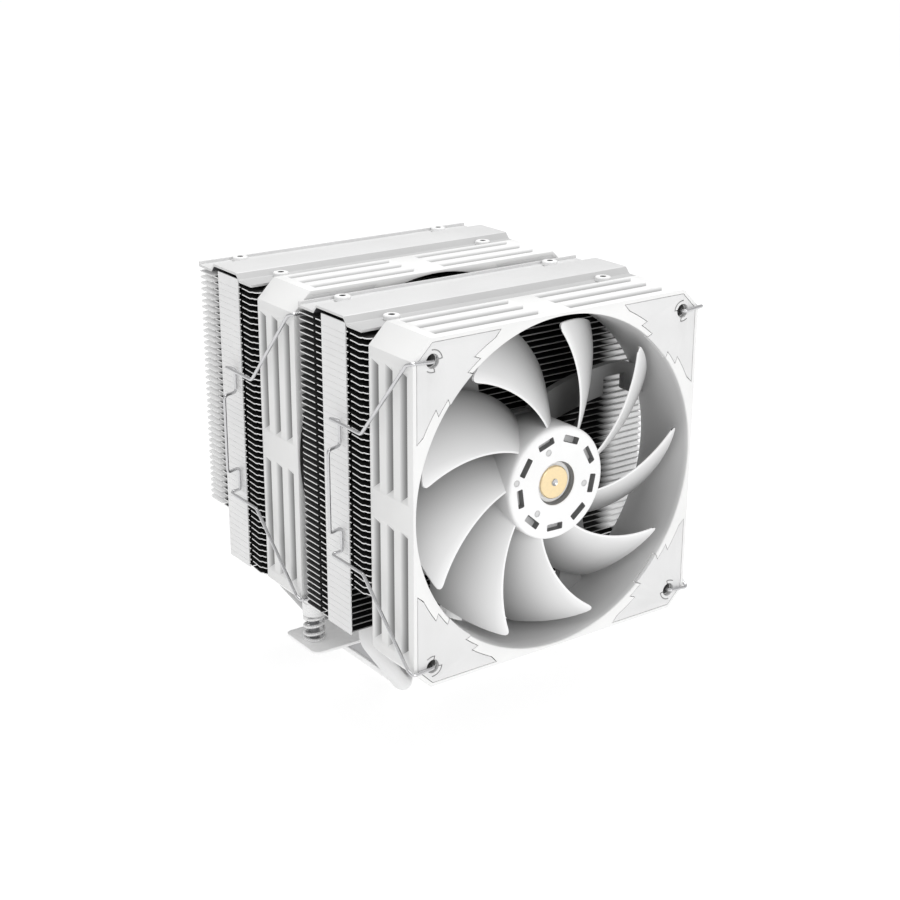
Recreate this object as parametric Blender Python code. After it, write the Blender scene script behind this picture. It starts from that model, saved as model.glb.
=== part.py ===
"""Dual-tower CPU air cooler with two clipped 120 mm fans.

Metres, +Z up, +X to the cooler's left-right width, air runs along +Y.
The origin is the centre of the cold plate's contact face, which faces down.
"""
import math

import bmesh
import bpy
from mathutils import Vector

# ---------------------------------------------------------------- dimensions
GAP = 0.0003                    # clearance left between touching pieces

FAN = 0.120                     # fan frame width and height
FAN_T = 0.025                   # fan thickness
FAN_CHAMFER = 0.00684           # cut on the frame's four corners
FAN_BORE = 0.0583               # radius of the round air opening
FAN_HOLES = 0.0525              # screw holes at +-52.5 mm (105 mm spacing)
HOLE_R = 0.00225
FAN_Z = 0.096                   # fan centre above the contact face
FRONT_FAN_Y = -0.086            # front face of the front fan
FAN_PITCH = 0.0715              # from one fan's face to the next one's

HUB_R = 0.0201                  # rotor hub
HUB_Y = 0.0018                  # hub face behind the frame's front face
TIP_R = 0.0555                  # blade tip radius
BLADES = 9
BLADE_T = 0.0012

GROOVE_Y = (0.0053, 0.0133, 0.0213)   # centres of the long grooves
GROOVE_W = 0.0043
GROOVE_D = 0.0010
GROOVE_ENDS = (0.0049, 0.0494)

PAD_EDGE = 0.0584               # outer edge of the corner pads
PAD_R1 = 0.0629                 # inner outline, outer step
PAD_R2 = 0.06045                # inner outline, inner step
PAD_T = 0.0015

TOWER_W = 0.0603                # half width of a fin stack
TOWER_D = 0.0435                # depth of a fin stack
TOWER_Y = (-0.0607, 0.0108)     # front edge of each stack
FINS = 48
FIN_PITCH = 0.0022936
FIN_T = 0.0004
FIN_Z0 = 0.0430                 # lowest fin
LOW_FINS = 8                    # lowest fins are cut back
BAND = (0.0127, 0.0277)         # folded side wall, from the front edge
BAND_T = 0.0004
BAND_TOP = 0.1532
PIPE_Y = 0.0218                 # heat pipes, from the front edge

PIPE_R = 0.0030
PIPE_BASE_X = (0.0037, 0.0111, 0.0185)
PIPE_TOWER_X = (0.0100, 0.0290, 0.0480)
PIPE_TOP = 0.1530

PLATE = (0.0246, 0.0190, 0.0024)      # cold plate half sizes, thickness
BLOCK = (0.0240, 0.0160, 0.0160)      # base block half sizes, top
BAR = (0.0530, 0.0112, 0.0012)        # mounting bar half sizes, thickness
BAR_Z = 0.0163                        # bar underside
SCREW_X = 0.0466                      # captive spring screws
SPRING_Z = (0.0178, 0.0275)
HEAD_TOP = 0.0335

COVER_X = 0.0605
COVER_T = 0.0009
FLANGE_Z = 0.1533               # top of the cover's low flanges
LIP = 0.0011                    # turned-up rear edge
PLATEAU_Z = 0.1556              # top of the raised middle
COVER_SCREWS = (0.0452, 0.0150, 0.0233)   # x, y spread, y centre

WIRE_R = 0.00065

# ----------------------------------------------------------------- materials
COLOURS = {
    "white_plastic": ((0.86, 0.86, 0.85), 0.45, 0.0),
    "pad_rubber": ((0.80, 0.80, 0.80), 0.75, 0.0),
    "rotor_plastic": ((0.78, 0.79, 0.80), 0.40, 0.0),
    "gold_cap": ((0.95, 0.80, 0.48), 0.35, 0.3),
    "shaft_steel": ((0.60, 0.60, 0.61), 0.25, 1.0),
    "stator_core": ((0.10, 0.10, 0.11), 0.55, 0.2),
    "clip_wire": ((0.62, 0.62, 0.62), 0.25, 1.0),
    "white_fin": ((0.85, 0.86, 0.86), 0.42, 0.0),
    "white_cover": ((0.86, 0.87, 0.87), 0.40, 0.0),
    "cover_screw": ((0.80, 0.80, 0.80), 0.35, 0.2),
    "white_pipe": ((0.85, 0.86, 0.86), 0.38, 0.0),
    "base_metal": ((0.66, 0.67, 0.68), 0.35, 1.0),
    "plate_metal": ((0.76, 0.77, 0.78), 0.25, 1.0),
    "bar_metal": ((0.72, 0.73, 0.74), 0.35, 0.9),
    "screw_metal": ((0.74, 0.74, 0.75), 0.30, 1.0),
}


def material(name):
    mat = bpy.data.materials.get(name)
    if mat:
        return mat
    colour, rough, metal = COLOURS[name]
    mat = bpy.data.materials.new(name)
    mat.use_nodes = True
    shader = mat.node_tree.nodes["Principled BSDF"]
    shader.inputs["Base Color"].default_value = (*colour, 1.0)
    shader.inputs["Roughness"].default_value = rough
    shader.inputs["Metallic"].default_value = metal
    mat.diffuse_color = (*colour, 1.0)
    return mat


# ------------------------------------------------------------- mesh helpers
def link(name, mesh, mat, at=(0, 0, 0), parent=None):
    obj = bpy.data.objects.new(name, mesh)
    bpy.context.collection.objects.link(obj)
    if mat and not mesh.materials:
        mesh.materials.append(material(mat))
    obj.location = at
    obj.parent = parent
    return obj


def finish(name, bm, mat, at=(0, 0, 0), parent=None, smooth=True):
    bmesh.ops.recalc_face_normals(bm, faces=bm.faces[:])
    mesh = bpy.data.meshes.new(name)
    bm.to_mesh(mesh)
    bm.free()
    if smooth:
        mesh.shade_smooth()
        mesh.set_sharp_from_angle(angle=math.radians(35))
    return link(name, mesh, mat, at, parent)


def prism(bm, points, a, b, axis="Y"):
    """Closed prism of a flat outline; points are (x, z), (x, y) or (y, z)."""
    def place(p, d):
        if axis == "Y":
            return (p[0], d, p[1])
        if axis == "Z":
            return (p[0], p[1], d)
        return (d, p[0], p[1])
    low = [bm.verts.new(place(p, a)) for p in points]
    top = [bm.verts.new(place(p, b)) for p in points]
    bm.faces.new(low)
    bm.faces.new(list(reversed(top)))
    n = len(points)
    for i in range(n):
        j = (i + 1) % n
        bm.faces.new((low[j], low[i], top[i], top[j]))


def box(bm, lo, hi):
    prism(bm, [(lo[0], lo[1]), (hi[0], lo[1]), (hi[0], hi[1]), (lo[0], hi[1])],
          lo[2], hi[2], "Z")


def circle(r, n, cx=0.0, cy=0.0, turn=0.0):
    step = 2 * math.pi / n
    return [(cx + r * math.cos(turn + i * step), cy + r * math.sin(turn + i * step))
            for i in range(n)]


def turned(bm, profile, n, axis="Y", closed=True):
    """Revolve (radius, along) points about an axis; closed makes a ring."""
    rings = []
    for r, d in profile:
        if r < 1e-7:
            p = (0, d, 0) if axis == "Y" else (0, 0, d)
            rings.append([bm.verts.new(p)])
            continue
        ring = []
        for x, y in circle(r, n):
            ring.append(bm.verts.new((x, d, y) if axis == "Y" else (x, y, d)))
        rings.append(ring)
    pairs = list(zip(rings, rings[1:]))
    if closed:
        pairs.append((rings[-1], rings[0]))
    for a, b in pairs:
        for i in range(n):
            j = (i + 1) % n
            if len(a) == 1 and len(b) == 1:
                continue
            if len(a) == 1:
                bm.faces.new((a[0], b[i], b[j]))
            elif len(b) == 1:
                bm.faces.new((a[i], a[j], b[0]))
            else:
                bm.faces.new((a[i], a[j], b[j], b[i]))


def boolean(obj, bm, how="DIFFERENCE"):
    """Cut or join with a solid in the object's own space, and keep the result."""
    bmesh.ops.recalc_face_normals(bm, faces=bm.faces[:])
    mesh = bpy.data.meshes.new("cutter")
    bm.to_mesh(mesh)
    bm.free()
    tool = bpy.data.objects.new("cutter", mesh)
    bpy.context.collection.objects.link(tool)
    tool.matrix_world = obj.matrix_world
    mod = obj.modifiers.new("cut", "BOOLEAN")
    mod.operation = how
    mod.solver = "EXACT"
    mod.object = tool
    bpy.context.view_layer.update()
    graph = bpy.context.evaluated_depsgraph_get()
    result = bpy.data.meshes.new_from_object(obj.evaluated_get(graph))
    obj.modifiers.clear()
    obj.data = result
    bpy.data.objects.remove(tool)
    result.shade_smooth()
    result.set_sharp_from_angle(angle=math.radians(35))


def wire(name, points, radius, mat, at=(0, 0, 0), parent=None, resolution=1):
    curve = bpy.data.curves.new(name, "CURVE")
    curve.dimensions = "3D"
    curve.bevel_depth = radius
    curve.bevel_resolution = resolution
    curve.use_fill_caps = True
    curve.resolution_u = 1
    curve.render_resolution_u = 0
    spline = curve.splines.new("POLY")
    spline.points.add(len(points) - 1)
    for p, co in zip(spline.points, points):
        p.co = (*co, 1.0)
    curve.materials.append(material(mat))
    obj = bpy.data.objects.new(name, curve)
    bpy.context.collection.objects.link(obj)
    obj.location = at
    obj.parent = parent
    return obj


def rounded(points, radii, steps=4):
    """Polyline with each inner corner replaced by an arc of its own radius."""
    out = [Vector(points[0])]
    for i in range(1, len(points) - 1):
        a, b, c = Vector(points[i - 1]), Vector(points[i]), Vector(points[i + 1])
        u = (a - b).normalized()
        w = (c - b).normalized()
        half = u.angle(w) / 2
        reach = min(radii[i - 1] / math.tan(half), (a - b).length * 0.48,
                    (c - b).length * 0.48)
        radius = reach * math.tan(half)
        centre = b + (u + w).normalized() * (radius / math.sin(half))
        start = b + u * reach - centre
        end = b + w * reach - centre
        swing = start.angle(end)
        for k in range(steps + 1):
            t = k / steps
            f = math.sin((1 - t) * swing) / math.sin(swing)
            g = math.sin(t * swing) / math.sin(swing)
            out.append(centre + start * f + end * g)
    out.append(Vector(points[-1]))
    return out


# ----------------------------------------------------------------------- fan
def frame_outline():
    h = FAN / 2
    c = h - FAN_CHAMFER
    return [(h, -c), (h, c), (c, h), (-c, h), (-h, c), (-h, -c), (-c, -h), (c, -h)]


def pad_outline(grow=0.0):
    """Corner pad in the +x +z corner, with two steps at each inner end."""
    edge = PAD_EDGE + grow
    cut = FAN / 2 * 2 - FAN_CHAMFER - 0.00226 + grow * 1.414
    pts = []
    for r, a0, a1, n, g0, g1 in ((PAD_R1, 24.7, 35.0, 3, -1, -1),
                                 (PAD_R2, 35.0, 55.0, 5, -1, 1),
                                 (PAD_R1, 55.0, 65.3, 3, 1, 1)):
        lead = math.degrees(grow / r)
        a0, a1 = a0 + g0 * lead, a1 + g1 * lead
        for k in range(n):
            a = math.radians(a0 + (a1 - a0) * k / (n - 1))
            pts.append(((r - grow) * math.cos(a), (r - grow) * math.sin(a)))
    pts[0] = (edge, pts[0][1])
    pts[-1] = (pts[-1][0], edge)
    pts += [(cut - edge, edge), (edge, cut - edge)]
    return pts


def mirrored(points, sx, sz):
    out = [(x * sx, z * sz) for x, z in points]
    return out if sx * sz > 0 else list(reversed(out))


def fan_frame(name, parent):
    bm = bmesh.new()
    prism(bm, frame_outline(), 0.0, FAN_T)
    obj = finish(name, bm, "white_plastic")
    bm = bmesh.new()
    prism(bm, circle(FAN_BORE, 48), -0.01, FAN_T + 0.01)
    boolean(obj, bm)
    bm = bmesh.new()
    for sx in (-1, 1):
        for sz in (-1, 1):
            prism(bm, circle(HOLE_R, 12, sx * FAN_HOLES, sz * FAN_HOLES),
                  -0.01, FAN_T + 0.01)
    boolean(obj, bm)
    bm = bmesh.new()
    for sx in (-1, 1):
        for sz in (-1, 1):
            prism(bm, mirrored(pad_outline(GAP), sx, sz), -0.01, PAD_T + GAP)
    boolean(obj, bm)
    boolean(obj, grooves())
    boolean(obj, motor_mount(), "UNION")
    obj.parent = parent
    return obj


def grooves():
    bm = bmesh.new()
    a, b = GROOVE_ENDS
    h = FAN / 2
    for y in GROOVE_Y:
        y0, y1 = y - GROOVE_W / 2, y + GROOVE_W / 2
        for s in (-1, 1):
            for t0, t1 in ((-b, -a), (a, b)):
                lo, hi = sorted((s * (h - GROOVE_D), s * (h + 0.005)))
                box(bm, (lo, y0, t0), (hi, y1, t1))
                box(bm, (t0, y0, lo), (t1, y1, hi))
    return bm


ARM_OUTER = ((0.0208, 80.0), (0.0273, 66.0), (0.0381, 49.0), (0.0436, 43.4),
             (0.0509, 36.9), (0.0600, 27.0))   # radius and angle of each edge
ARM_INNER = ((0.0208, 44.0), (0.0308, 32.8), (0.0370, 31.0), (0.0532, 20.0),
             (0.0600, 16.0))


def polar(r, degrees):
    a = math.radians(degrees)
    return (r * math.cos(a), r * math.sin(a))


def motor_mount():
    """Rear plate that carries the motor, and its four swept arms.

    The upper right arm has a notch in its lower edge.
    """
    bm = bmesh.new()
    plate = bmesh.new()
    prism(plate, circle(0.0205, 32), 0.0212, 0.0247)
    mesh = bpy.data.meshes.new("plate")
    plate.to_mesh(mesh)
    plate.free()
    bm.from_mesh(mesh)
    bpy.data.meshes.remove(mesh)
    for k in range(4):
        left = [polar(r, a + 90 * k) for r, a in ARM_OUTER]
        right = [polar(r, a + 90 * k) for r, a in ARM_INNER]
        if k == 0:
            right[3:3] = [(0.0366, 0.0197), (0.0366, 0.0261), (0.0465, 0.0261),
                          (0.0465, 0.0198)]
        inner = [(p[0] * 0.85, p[1] * 0.85) for p in (right[0], left[0])]
        arm = bmesh.new()
        prism(arm, inner[:1] + right + list(reversed(left)) + inner[1:], 0.0216, 0.0243)
        mesh = bpy.data.meshes.new("arm")
        bmesh.ops.recalc_face_normals(arm, faces=arm.faces[:])
        arm.to_mesh(mesh)
        arm.free()
        holder = finish("mount_tool", bm, None, smooth=False)
        union = bmesh.new()
        union.from_mesh(mesh)
        boolean(holder, union, "UNION")
        bm = bmesh.new()
        bm.from_mesh(holder.data)
        bpy.data.objects.remove(holder)
        bpy.data.meshes.remove(mesh)
    return bm


def fan_pads(prefix, parent):
    pads = []
    for tag, sx, sz in (("top_left", -1, 1), ("top_right", 1, 1),
                        ("bottom_left", -1, -1), ("bottom_right", 1, -1)):
        bm = bmesh.new()
        prism(bm, mirrored(pad_outline(), sx, sz), 0.0, PAD_T)
        obj = finish(prefix + "pad_" + tag, bm, "pad_rubber")
        bm = bmesh.new()
        prism(bm, circle(HOLE_R + 0.0002, 12, sx * FAN_HOLES, sz * FAN_HOLES),
              -0.01, 0.01)
        boolean(obj, bm)
        obj.parent = parent
        pads.append(obj)
    return pads


def interpolate(table, x):
    for (x0, y0), (x1, y1) in zip(table, table[1:]):
        if x <= x1:
            return y0 + (y1 - y0) * (x - x0) / (x1 - x0)
    return table[-1][1]


SWEEP = ((0.0190, 0.0), (0.0228, 3.1), (0.0292, 10.7), (0.0392, 19.2),
         (0.0478, 26.4), (0.0555, 33.0))     # leading edge angle by radius


def blade_point(r, s, side):
    """Point on a blade: s runs from the leading to the trailing edge."""
    t = (r - HUB_R) / (TIP_R - HUB_R)
    lead = interpolate(SWEEP, r)
    span = 37.0 - 8.0 * t
    front = 0.0040 - 0.0015 * t
    depth = 0.0160 - 0.0005 * t
    y = front + depth * (s - 0.35 * s * (1 - s))
    half = BLADE_T / 2 * (1.0 if 0.01 < s < 0.99 else 0.45)
    a = math.radians(lead - span * s)
    pitch = math.atan2(depth, r * math.radians(span))
    a += side * half * math.sin(pitch) / r
    y += side * half * math.cos(pitch)
    return (r * math.cos(a), y, r * math.sin(a))


def blade(bm, turn):
    """One swept blade as a closed sheet, its root inside the hub wall."""
    radii = (0.0193, 0.0270, 0.0350, 0.0430, 0.0500, TIP_R)
    chord = (0.0, 0.33, 0.67, 1.0)
    ca, sa = math.cos(turn), math.sin(turn)
    grid = {}
    for side in (-1, 1):
        for i, r in enumerate(radii):
            for j, s in enumerate(chord):
                x, y, z = blade_point(r, s, side)
                grid[side, i, j] = bm.verts.new((x * ca - z * sa, y, x * sa + z * ca))
    n, m = len(radii) - 1, len(chord) - 1
    for side in (-1, 1):
        for i in range(n):
            for j in range(m):
                f = [grid[side, i, j], grid[side, i + 1, j],
                     grid[side, i + 1, j + 1], grid[side, i, j + 1]]
                bm.faces.new(f if side > 0 else reversed(f))
    for i in range(n):
        for j in (0, m):
            bm.faces.new((grid[1, i, j], grid[-1, i, j], grid[-1, i + 1, j],
                          grid[1, i + 1, j]))
    for j in range(m):
        for i in (0, n):
            bm.faces.new((grid[1, i, j], grid[-1, i, j], grid[-1, i, j + 1],
                          grid[1, i, j + 1]))


def fan_rotor(prefix, parent):
    """Hub cup with nine slots round its face, and nine swept blades."""
    r, wall, back = HUB_R, 0.0014, 0.0205
    face, floor = HUB_Y, HUB_Y + 0.0028
    profile = [(0.0, face + 0.0015), (0.0077, face + 0.0015), (0.0077, face),
               (r - 0.0012, face), (r - 0.0003, face + 0.0004), (r, face + 0.0014),
               (r, back), (r - wall, back), (r - wall, floor), (0.0, floor)]
    bm = bmesh.new()
    turned(bm, profile, 28, closed=False)
    obj = finish(prefix + "rotor", bm, "rotor_plastic")
    bm = bmesh.new()
    for k in range(9):
        a = math.radians(28.3 + 40 * k)
        pts = []
        for u, w in ((-0.00125, -0.00335), (0.00125, -0.00335),
                     (0.00125, 0.00335), (-0.00125, 0.00335)):
            rr = 0.01565 + u
            pts.append((rr * math.cos(a) - w * math.sin(a),
                        rr * math.sin(a) + w * math.cos(a)))
        prism(bm, pts, 0.0, 0.0060)
    boolean(obj, bm)
    bm = bmesh.new()
    for k in range(BLADES):
        blade(bm, math.radians(138 + 40 * k))
    boolean(obj, bm, "UNION")
    obj.parent = parent
    return obj


def fan_core(prefix, rotor_parent, frame_parent):
    bm = bmesh.new()
    y = HUB_Y + 0.0015 - GAP
    turned(bm, [(0.0014, y), (0.0059, y), (0.0059, y - 0.0007), (0.0014, y - 0.0007)], 20)
    cap = finish(prefix + "hub_cap", bm, "gold_cap", parent=rotor_parent)
    bm = bmesh.new()
    prism(bm, circle(0.0015, 12), HUB_Y + 0.0028 + GAP, 0.0212 - GAP)
    shaft = finish(prefix + "shaft", bm, "shaft_steel", parent=rotor_parent)
    bm = bmesh.new()
    turned(bm, [(0.0020, 0.0070), (0.0172, 0.0070), (0.0172, 0.0190),
                (0.0110, 0.0209), (0.0020, 0.0209)], 20)
    stator = finish(prefix + "stator", bm, "stator_core", parent=frame_parent)
    return cap, shaft, stator


def clip_points(side):
    """Wire clip: hooked ends, long side runs, two catches and a pull loop."""
    half = [(0.0525, 0.0020, 0.0525), (0.0525, -0.00095, 0.0525),
            (0.0610, -0.00095, 0.0532), (0.0613, 0.0018, 0.0521),
            (0.0646, 0.0229, 0.0245), (0.0644, 0.0433, 0.0245),
            (0.0613, 0.0412, 0.0234), (0.0613, 0.0412, 0.0148),
            (0.0672, 0.0391, 0.0148)]
    axis = Vector((0.0525, -0.00095, 0.0))
    full = half + [(x, y, -z) for x, y, z in reversed(half)]
    return [((x - axis.x) * side, y - axis.y, z) for x, y, z in full]


def fan(prefix, y):
    mount = bpy.data.objects.new(prefix + "place", None)
    bpy.context.collection.objects.link(mount)
    mount.location = (0.0, y, FAN_Z)
    spin = bpy.data.objects.new(prefix + "axis", None)
    bpy.context.collection.objects.link(spin)
    spin.parent = mount
    fan_frame(prefix + "frame", mount)
    fan_pads(prefix, mount)
    fan_rotor(prefix, spin)
    fan_core(prefix, spin, mount)
    for tag, side in (("left", -1), ("right", 1)):
        wire(prefix + "clip_" + tag, clip_points(side), WIRE_R, "clip_wire",
             at=(side * FAN_HOLES, -0.00095, 0.0), parent=mount)


# ---------------------------------------------------------------- fin towers
def fin_outline(low, cut_front):
    """Half outline of one fin at +x, from front to rear, as (x, y) points."""
    w, c = TOWER_W, 0.0026
    front = [(w - c, 0.0), (w, c)]
    rear = [(w, TOWER_D - c), (w - c, TOWER_D)]
    if low and cut_front:
        front = []
    if low and not cut_front:
        rear = []
    return front, rear


def fin_layer(bm, z, low, cut_front, y0):
    """One level of vertices; returns the named corners of both sides."""
    front, rear = fin_outline(low, cut_front)
    level = {}
    for s in (-1, 1):
        def put(x, y):
            return bm.verts.new((s * x, y0 + y, z))
        level[s, "front"] = [put(*p) for p in front]
        level[s, "rear"] = [put(*p) for p in rear]
        level[s, "band"] = [put(TOWER_W, BAND[0]), put(TOWER_W - BAND_T, BAND[0]),
                            put(TOWER_W - BAND_T, BAND[1]), put(TOWER_W, BAND[1])]
        sx, sy = PIPE_TOWER_X[2] + PIPE_R + 0.0006, PIPE_R + 0.0006
        level[s, "slot"] = [put(sx, PIPE_Y - sy), put(sx, PIPE_Y + sy)]
    return level


def ring(level):
    """Outer vertex loop of a fin, the slot loop and the loop's band spans."""
    loop = []
    r, l = 1, -1
    loop += level[r, "front"] + [level[r, "band"][0], level[r, "band"][3]] + level[r, "rear"]
    loop += list(reversed(level[l, "rear"])) + [level[l, "band"][3], level[l, "band"][0]]
    loop += list(reversed(level[l, "front"]))
    slot = [level[r, "slot"][0], level[r, "slot"][1], level[l, "slot"][1],
            level[l, "slot"][0]]
    return loop, slot


def fin_face(bm, level, with_band):
    """Top or bottom of a fin around the slot, leaving out the band strips."""
    r, l = 1, -1

    def outer(s, end):
        band = level[s, "band"]
        if end == "front":
            return [band[1], band[0]] + list(reversed(level[s, "front"]))
        return [band[2], band[3]] + level[s, "rear"]
    front = outer(r, "front") + list(reversed(outer(l, "front")))
    front += [level[l, "slot"][0], level[r, "slot"][0]]
    rear = outer(r, "rear") + list(reversed(outer(l, "rear")))
    rear += [level[l, "slot"][1], level[r, "slot"][1]]
    faces = [front, rear]
    for s in (r, l):
        band, slot = level[s, "band"], level[s, "slot"]
        faces.append([band[1], slot[0], slot[1], band[2]])
    if not with_band:
        for s in (r, l):
            faces.append(list(level[s, "band"]))
    for f in faces:
        seen = []
        for v in f:
            if v not in seen:
                seen.append(v)
        bm.faces.new(seen)


def fin_stack(name, y0, cut_front):
    """Forty-eight thin fins joined by the folded wall down each side."""
    bm = bmesh.new()
    below = None
    for k in range(FINS):
        z = FIN_Z0 + k * FIN_PITCH
        low = k < LOW_FINS
        a = fin_layer(bm, z - FIN_T / 2, low, cut_front, y0)
        b = fin_layer(bm, z + FIN_T / 2, low, cut_front, y0)
        fin_face(bm, a, below is not None)
        fin_face(bm, b, True)
        for p, q in zip(ring(a), ring(b)):
            for i in range(len(p)):
                j = (i + 1) % len(p)
                bm.faces.new((p[i], p[j], q[j], q[i]))
        if below:
            for s in (-1, 1):
                p, q = below[s, "band"], a[s, "band"]
                for i in range(4):
                    j = (i + 1) % 4
                    bm.faces.new((p[i], p[j], q[j], q[i]))
        below = b
    for s in (-1, 1):
        p = below[s, "band"]
        q = [bm.verts.new((v.co.x, v.co.y, BAND_TOP)) for v in p]
        for i in range(4):
            j = (i + 1) % 4
            bm.faces.new((p[i], p[j], q[j], q[i]))
        bm.faces.new(q)
    return finish(name, bm, "white_fin", smooth=False)


def top_cover(name, y0):
    """Folded sheet over a stack: low flanges and a raised middle."""
    f, p, t = FLANGE_Z, PLATEAU_Z, COVER_T
    upper = [(0.0026, f), (0.0113, f), (0.0134, p), (0.0304, p), (0.0324, f), (0.0414, f),
             (0.0414, f + LIP), (0.0421, f + LIP)]
    lower = [(0.0026, f - t), (0.0116, f - t), (0.0136, p - t), (0.0302, p - t),
             (0.0322, f - t), (0.0421, f - t)]
    bm = bmesh.new()
    outline = [(y0 + y, z) for y, z in lower] + [(y0 + y, z) for y, z in reversed(upper)]
    prism(bm, outline, -COVER_X, COVER_X, "X")
    obj = finish(name, bm, "white_cover", smooth=False)
    bm = bmesh.new()
    x, dy, yc = COVER_SCREWS
    for sx in (-1, 1):
        for sy in (-1, 1):
            prism(bm, circle(0.0015, 10, sx * x, y0 + yc + sy * dy), f - 0.005,
                  f + 0.005, "Z")
    boolean(obj, bm)
    return obj


def cover_screw(name, x, y):
    """Low round head with a socket, and a short shank through the cover."""
    top = FLANGE_Z + GAP
    bm = bmesh.new()
    turned(bm, [(0.0, top - 0.0013), (0.0012, top - 0.0013), (0.0012, top),
                (0.0028, top), (0.0028, top + 0.0017), (0.0011, top + 0.0017),
                (0.0011, top + 0.0006), (0.0, top + 0.0006)],
           10, "Z", closed=False)
    return finish(name, bm, "cover_screw", at=(x, y, 0.0))


def heat_pipe(name, base_x, tower_x, side):
    """One bent pipe from the front stack through the base to the rear stack."""
    z = PLATE[2] + GAP + PIPE_R
    yf = TOWER_Y[0] + PIPE_Y
    yr = TOWER_Y[1] + PIPE_Y
    front = base_x + (tower_x - base_x) * 0.36
    rear = base_x + (tower_x - base_x) * 0.20
    pts = [(tower_x, yf, PIPE_TOP), (tower_x, yf, 0.0385), (front, yf + 0.0030, z),
           (base_x, -PLATE[1] - 0.0010, z), (base_x, PLATE[1] - 0.0025, z),
           (rear, yr - 0.0040, z), (tower_x, yr, 0.0385), (tower_x, yr, PIPE_TOP)]
    pts = [(x * side, y, zz) for x, y, zz in pts]
    path = rounded(pts, (0.012, 0.009, 0.008, 0.008, 0.009, 0.012), 2)
    return wire(name, path, PIPE_R, "white_pipe", resolution=2)


# ---------------------------------------------------------------------- base
def base_parts():
    px, py, pz = PLATE
    bm = bmesh.new()
    box(bm, (-px, -py, 0.0), (px, py, pz))
    finish("cold_plate", bm, "plate_metal", smooth=False)
    bx, by, top = BLOCK
    low = pz + GAP
    r = PIPE_R + GAP
    zc = pz + GAP + PIPE_R
    pts = [(-bx, low)]
    for x in sorted([-v for v in PIPE_BASE_X] + list(PIPE_BASE_X)):
        pts.append((x - r, low))
        for k in range(7):
            a = math.pi - math.pi * k / 6
            pts.append((x + r * math.cos(a), zc + r * math.sin(a)))
        pts.append((x + r, low))
    pts += [(bx, low), (bx, top), (-bx, top)]
    bm = bmesh.new()
    prism(bm, pts, -by, by)
    block = finish("base_block", bm, "base_metal", smooth=False)
    bm = bmesh.new()
    for s in (-1, 1):
        prism(bm, circle(0.0018, 12, s * 0.0125, 0.0), 0.0106, 0.03, "Z")
    boolean(block, bm)


def bar_outline():
    hx, hy, r = BAR[0], BAR[1], 0.0060
    pts = []
    for cx, cy, a0 in ((hx - r, hy - r, 0), (-hx + r, hy - r, 90),
                       (-hx + r, -hy + r, 180), (hx - r, -hy + r, 270)):
        for k in range(5):
            a = math.radians(a0 + 22.5 * k)
            pts.append((cx + r * math.cos(a), cy + r * math.sin(a)))
    return pts


def mounting_bar():
    bm = bmesh.new()
    prism(bm, bar_outline(), BAR_Z, BAR_Z + BAR[2], "Z")
    bar = finish("mounting_bar", bm, "bar_metal")
    bm = bmesh.new()
    for s in (-1, 1):
        prism(bm, circle(0.0023, 16, s * SCREW_X, 0.0), 0.0, 0.03, "Z")
        prism(bm, circle(0.0018, 12, s * 0.0125, 0.0), 0.0, 0.03, "Z")
    boolean(bar, bm)
    top = BAR_Z + BAR[2] + GAP
    for tag, s in (("left", -1), ("right", 1)):
        bm = bmesh.new()
        turned(bm, [(0.0, 0.0112), (0.0015, 0.0112), (0.0015, top), (0.0030, top),
                    (0.0030, top + 0.0012), (0.0024, top + 0.0017), (0.0, top + 0.0017)],
               12, "Z", closed=False)
        finish("bar_screw_" + tag, bm, "screw_metal", at=(s * 0.0125, 0.0, 0.0))


def spring_screw(tag, side):
    """Captive screw with its coil spring above the bar and a ring below it."""
    x = side * SCREW_X
    head = SPRING_Z[1] + GAP
    end = BAR_Z - 0.0026
    bm = bmesh.new()
    turned(bm, [(0.0, end), (0.0019, end), (0.0019, 0.0147), (0.0013, 0.0147),
                (0.0013, 0.0161), (0.0019, 0.0161), (0.0019, head), (0.0043, head),
                (0.0043, HEAD_TOP), (0.0022, HEAD_TOP), (0.0022, HEAD_TOP - 0.0025),
                (0.0, HEAD_TOP - 0.0025)],
           16, "Z", closed=False)
    finish("spring_screw_" + tag, bm, "screw_metal", at=(x, 0.0, 0.0))
    bm = bmesh.new()
    turned(bm, [(0.0016, 0.0151), (0.0031, 0.0151), (0.0031, 0.0157), (0.0016, 0.0157)],
           12, "Z")
    finish("screw_ring_" + tag, bm, "screw_metal", at=(x, 0.0, 0.0))
    turns, per, rw = 4.5, 8, 0.00055
    n = int(turns * per)
    z0, z1 = SPRING_Z[0] + rw, SPRING_Z[1] - rw
    pts = []
    for i in range(n + 1):
        t = i / n
        a = 2 * math.pi * turns * t
        pts.append((0.0036 * math.cos(a), 0.0036 * math.sin(a), z0 + (z1 - z0) * t))
    wire("screw_spring_" + tag, pts, rw, "screw_metal", at=(x, 0.0, 0.0))


def main():
    for obj in list(bpy.data.objects):
        bpy.data.objects.remove(obj, do_unlink=True)
    fan("front_fan_", FRONT_FAN_Y)
    fan("mid_fan_", FRONT_FAN_Y + FAN_PITCH)
    for tag, y0, cut_front in (("front_", TOWER_Y[0], True), ("rear_", TOWER_Y[1], False)):
        fin_stack(tag + "fin_stack", y0, cut_front)
        top_cover(tag + "cover", y0)
        x, dy, yc = COVER_SCREWS
        for k, (sx, sy) in enumerate(((-1, -1), (1, -1), (-1, 1), (1, 1))):
            cover_screw(tag + "cover_screw_" + str(k + 1), sx * x, y0 + yc + sy * dy)
    for k in range(3):
        for tag, side in (("left", -1), ("right", 1)):
            heat_pipe("heat_pipe_%s_%d" % (tag, k + 1), PIPE_BASE_X[k],
                      PIPE_TOWER_X[k], side)
    base_parts()
    mounting_bar()
    spring_screw("left", -1)
    spring_screw("right", 1)


main()
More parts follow.
